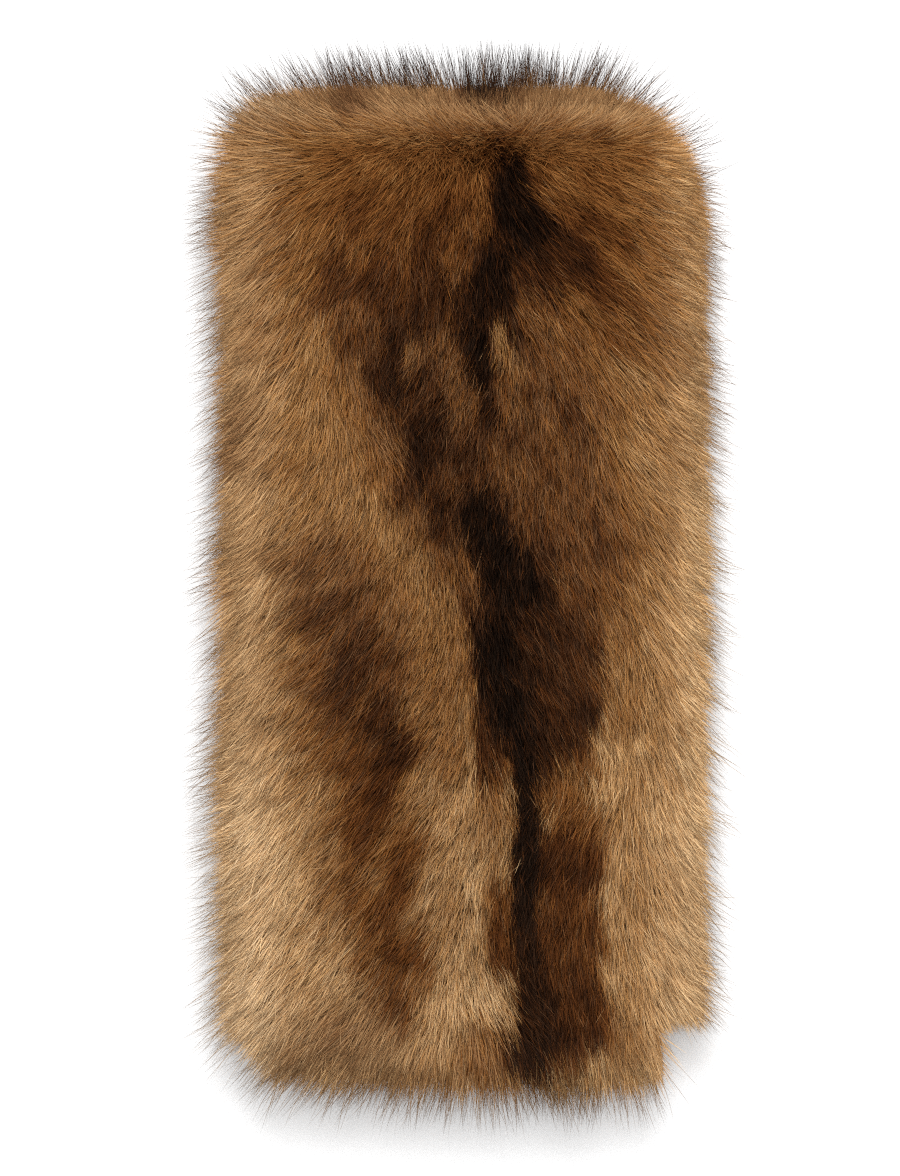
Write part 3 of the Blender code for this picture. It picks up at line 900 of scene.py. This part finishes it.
def toneMaterial(name, own):
    # Reads the tone painted on the piece, with fine streaks along the wrap and a soft bump
    material, tree, shader = newMaterial(name, own["roughness"], streaks["specular"])
    tone = newNode(tree, "Attribute", attribute_name="tone")
    coord = newNode(tree, "TexCoord")
    mapping = newNode(tree, "Mapping", {"Vector": coord.outputs["Object"], "Scale": streaks["scale"]})
    fineness = {"Vector": mapping.outputs["Vector"], "Scale": 1, "Detail": streaks["detail"]}
    noise = newNode(tree, "TexNoise", fineness).outputs["Fac"]
    strength, offset = streaks["change"]
    streak = newNode(tree, "Math", {0: noise, 1: strength, 2: offset}, operation="MULTIPLY_ADD")
    both = newNode(tree, "Math", {0: tone.outputs["Fac"], 1: streak.outputs[0]})
    colours = ramp(tree, [(t, linear(*warm) * own["gain"]) for t, warm, _ in toneStops])
    tree.links.new(both.outputs[0], colours.inputs["Fac"])
    tree.links.new(colours.outputs["Color"], shader.inputs["Base Color"])
    strength, height = streaks["bump"]
    bump = newNode(tree, "Bump", {"Strength": strength, "Distance": height, "Height": noise})
    tree.links.new(bump.outputs["Normal"], shader.inputs["Normal"])
    return material


def gridSurface(name, grid, material, tone):
    # A closed body from a grid of points: rows of rings, each ring joined to itself, with both ends capped.
    # Each point gets its tone
    rows, columns = grid.shape[:2]
    index = np.arange(rows * columns).reshape(rows, columns)
    nextColumn = np.roll(index, -1, axis=1)
    quads = np.stack([index[:-1], nextColumn[:-1], nextColumn[1:], index[1:]], -1).reshape(-1, 4)
    mesh = bpy.data.meshes.new(name)
    faces = quads.tolist() + [index[0, ::-1].tolist(), index[-1].tolist()]
    mesh.from_pydata(grid.reshape(-1, 3).tolist(), [], faces)
    mesh.polygons.foreach_set("use_smooth", np.ones(len(mesh.polygons), bool))
    tones = mesh.attributes.new("tone", "FLOAT", "POINT")
    tones.data.foreach_set("value", tone.astype(np.float32))
    mesh.materials.append(material)
    mesh.update()
    piece = linked(name, mesh)
    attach(piece, "root")
    print(name, rows, "by", columns)
    return piece


def makeSkin(material):
    # The strip's section across is a thin rounded bar. It is carried along a path that runs up the upper
    # leaf, round the half circle of the bend and back along the under leaf
    wall = leafHigh[2] - leafLow[2]
    radius = (skinTop - skinBottom - wall) / 2
    alongPoints, bendPoints, acrossPoints = skin["points"]
    straight = np.linspace(openEnd, bend - bendRadius, alongPoints)
    turn = np.radians(np.linspace(90, -90, bendPoints))[1:-1]
    y = np.concatenate([straight, straight[-1] + radius * np.cos(turn), straight[::-1]])
    upper, under = (np.full(alongPoints, skinMiddle + side) for side in (radius, -radius))
    z = np.concatenate([upper, skinMiddle + radius * np.sin(turn), under])
    run = np.stack([np.gradient(y), np.gradient(z)], 1)
    run /= np.linalg.norm(run, axis=1, keepdims=True)
    normal = np.stack([np.zeros(len(y)), -run[:, 1], run[:, 0]], 1)
    # The leaf narrows where its corners are cut and stepped, and by an arc at each end of the fold
    stepWidth, stepLength = skin["step"]
    left = -halfWidth + np.clip(skin["cut"] - (y - openEnd), 0, None)
    right = halfWidth - stepWidth * (y < openEnd + stepLength)
    for edge, (sign, corner) in zip((left, right), skin["corners"]):
        past = np.clip(y - (bend - corner), 0, corner)
        edge -= sign * (corner - np.sqrt(corner**2 - past**2))
    share = np.linspace(0, 1, acrossPoints)
    across = left[:, None] + (right - left)[:, None] * share[None, :]
    faces = []
    for sign, order in ((1, slice(None)), (-1, slice(None, None, -1))):
        x = across[:, order]
        face = np.stack([x, np.broadcast_to(y[:, None], x.shape), np.broadcast_to(z[:, None], x.shape)], -1)
        faces.append(face + sign * (wall / 2) * normal[:, None, :])
    grid = np.concatenate(faces, 1)
    tone = np.full(grid.size // 3, skin["tone"])
    piece = gridSurface("skinStrip", grid, material, tone)
    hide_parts("upper_leaf", "fold_strip", "under_leaf")
    return piece


wool = {
    "gain": 1.0,
    "roughness": 0.85,
    "tone": 0.7,  # how much darker it is than the hair over it, as painted shade under the hair
    "top": 0.0335,
    "points": 300,  # round each ring
    "openSpace": 0.06,  # how far its middle line stays back from the open end and from the fold
    "foldSpace": 0.08,
    "softenings": 4,
    "lumps": 0.0010,  # how high the lumps are, how wide, their own start, and from what height up they show
    "lumpSize": 0.02,
    "lumpSeed": 31,
    "lumpsFrom": 0.006,
    "lumpsFade": 0.01,
    # Each ring's share of the way in from the rooting outline, and its share of the height
    "section": (
        (0.34, 0.0), (0.16, 0.0), (0.10, 0.04), (0.05, 0.16), (0.015, 0.32), (-0.01, 0.50), (-0.01, 0.66),
        (0.01, 0.80), (0.06, 0.92), (0.14, 0.98), (0.30, 1.0), (0.55, 1.0), (0.80, 1.0),
    ),
}


def makeWool(material):
    # The wool is a rounded slab over both faces of the skin. Its rings run from the rooting outline towards
    # the nearest point of a line down the middle, by the share that its edge section gives, with the corners
    # softened by averaging neighbours. The free upper rings are lumped by soft noise
    rim, count = rootOutline(wool["points"]), wool["points"]
    along = np.clip(rim[:, 1], openEnd + wool["openSpace"], bend - wool["foldSpace"])
    middle = np.stack([np.zeros(count), along], 1)
    rings = []
    for share, height in wool["section"]:
        ring = rim + share * (middle - rim)
        for _ in range(wool["softenings"]):
            ring = (np.roll(ring, 1, axis=0) + 2 * ring + np.roll(ring, -1, axis=0)) / 4
        rings.append(np.column_stack([ring, np.full(count, wool["top"] * height)]))
    grid = np.stack(rings)
    free = ease((grid[:, :, 2] - wool["lumpsFrom"]) / wool["lumpsFade"])
    lumps = ripple(grid[:, :, 0], grid[:, :, 1], wool["lumpSize"], wool["lumpSeed"])
    grid[:, :, 2] += wool["lumps"] * free * lumps
    # The wool takes the fur's tone, darkened as painted shade under the hair
    tone = furTone(grid[:, :, 0].ravel(), grid[:, :, 1].ravel()) * wool["tone"]
    piece = gridSurface("underWool", grid, material, tone)
    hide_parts("upper_pile", "fold_pile", "under_pile")
    return piece


stage = {
    "floorSide": 8.0,
    "floorColour": (0.88, 0.88, 0.88),
    "floorRoughness": 0.9,
    "floorSpecular": 0.1,
    "roomLight": 0.75,
    # Each light's name, place, side and power. They all point at the origin
    "lights": (("keyLight", (0.0, 1.4, 1.7), 1.0, 36), ("topLight", (0.1, 0.2, 2.6), 1.6, 22)),
    "cameraHeight": 2.2,
    "cameraSees": 50,
    "sensorWidth": 36,
    "frameHeight": 0.5292,  # what the frame takes in from top to bottom, at the wrap's middle height
    "frameX": -0.0072,
    "frameY": 0.0009,
}


def makeFloor():
    # One square about the origin, at the height that the wrap lies on
    half = stage["floorSide"] / 2
    corners = [(-half, -half, 0), (half, -half, 0), (half, half, 0), (-half, half, 0)]
    mesh = bpy.data.meshes.new("floor")
    mesh.from_pydata(corners, [], [(0, 1, 2, 3)])
    floor = linked("floor", mesh)
    material, _, shader = newMaterial("paleFloor", stage["floorRoughness"], stage["floorSpecular"])
    shader.inputs["Base Color"].default_value = (*stage["floorColour"], 1)
    mesh.materials.append(material)


def makeLights():
    # An even white room, and the square lights, each tipped and then turned so that it faces the origin
    world = bpy.data.worlds.new("paleRoom")
    world.use_nodes = True
    background = world.node_tree.nodes["Background"]
    background.inputs["Color"].default_value = (1, 1, 1, 1)
    background.inputs["Strength"].default_value = stage["roomLight"]
    bpy.context.scene.world = world
    for name, place, side, power in stage["lights"]:
        lamp = bpy.data.lights.new(name, "AREA")
        lamp.shape = "SQUARE"
        lamp.size = side
        lamp.energy = power
        item = linked(name, lamp)
        item.location = place
        aim = np.zeros(3) - np.array(place)
        aim = aim / np.linalg.norm(aim)
        item.rotation_euler = (math.acos(-aim[2]), 0, math.atan2(aim[1], aim[0]) - math.pi / 2)


def makeCamera():
    # Straight down on the wrap. The long side of the frame takes the sensor's width, so the lens is that
    # width times the distance over the height that the frame takes in
    camera = bpy.data.cameras.new("camera")
    camera.sensor_width = stage["sensorWidth"]
    distance = stage["cameraHeight"] - skinMiddle
    camera.lens = camera.sensor_width * distance / stage["frameHeight"]
    camera.clip_end = stage["cameraSees"]
    item = linked("camera", camera)
    item.location = (stage["frameX"], stage["frameY"], stage["cameraHeight"])
    bpy.context.scene.camera = item


makeCamera()
makeLights()
makeFloor()
print("stage ready")

groundLook = hairMaterial("groundHair", hairLook["ground"])
guardLook = hairMaterial("guardHair", hairLook["guard"])
woolLook = toneMaterial("underWool", wool)
skinLook = toneMaterial("skinSide", skin)
print("materials ready")

skinStrip = makeSkin(skinLook)
underWool = makeWool(woolLook)
fur = makeFur(groundLook, guardLook)
print("fur ready")

scene = bpy.context.scene
scene.view_settings.view_transform = "Standard"
scene.cycles.use_denoising = False
scene.cycles.filter_width = 1.2
scene.cycles.diffuse_bounces = 3
scene.cycles.glossy_bounces = 1
